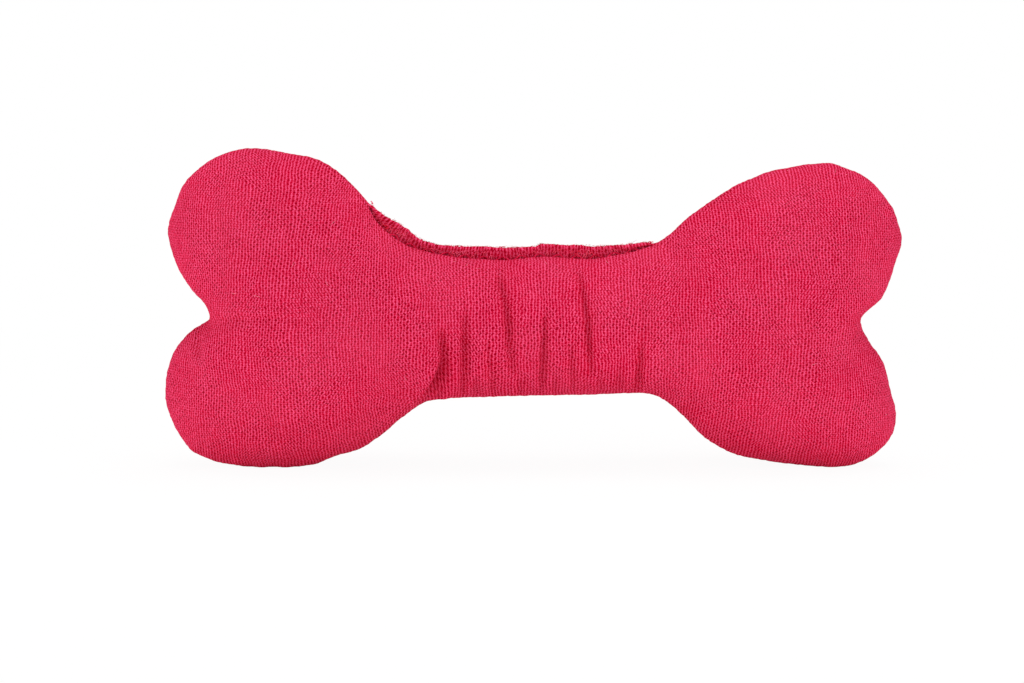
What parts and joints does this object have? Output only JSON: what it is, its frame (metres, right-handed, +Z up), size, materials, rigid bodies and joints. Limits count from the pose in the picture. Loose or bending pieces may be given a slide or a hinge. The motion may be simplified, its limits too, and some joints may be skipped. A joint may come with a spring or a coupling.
{
  "type": "stuffed bone dog toy",
  "caption": "Stuffed bone-shaped dog toy of pink knitted cloth, standing on its two lower lobes, with a sewn-shut top opening and a squeaker in its shaft.",
  "frame": {"origin": "centre of the bounding box at its base, on the surface that the toy stands on", "axes": "+X along the bone to the right end of the pictured side, +Y from the pictured front to the back, +Z up from the two lower lobes to the two upper ones"},
  "size_m": [0.1999, 0.052, 0.0862],
  "materials": {
    "cover_knit": "matte",
    "sewing_thread": "matte",
    "fibre_filling": "matte",
    "squeaker_plastic": "satin",
    "whistle_plastic": "gloss"
  },
  "bodies": {
    "bone": {"front_panel": "cover_knit", "back_panel": "cover_knit", "needle_thread": "sewing_thread", "bobbin_thread": "sewing_thread", "closing_thread": "sewing_thread", "filling_upper_left": "fibre_filling", "filling_lower_left": "fibre_filling", "filling_upper_right": "fibre_filling", "filling_lower_right": "fibre_filling", "filling_shaft_front": "fibre_filling", "filling_shaft_back": "fibre_filling", "squeaker_base": "squeaker_plastic", "squeaker_bellows": "squeaker_plastic", "whistle_tube": "whistle_plastic", "whistle_plug": "whistle_plastic", "reed": "whistle_plastic"},
    "squeaker_disc": {"squeaker_press": "squeaker_plastic"}
  },
  "joints": [
    {"name": "squeaker_squeeze", "type": "slide", "parent": "bone", "child": "squeaker_disc", "axis": [0, 1, 0], "range_m": [0, 0.006], "stiffness_N_per_m": 400, "deforming": ["squeaker_bellows"]}
  ]
}
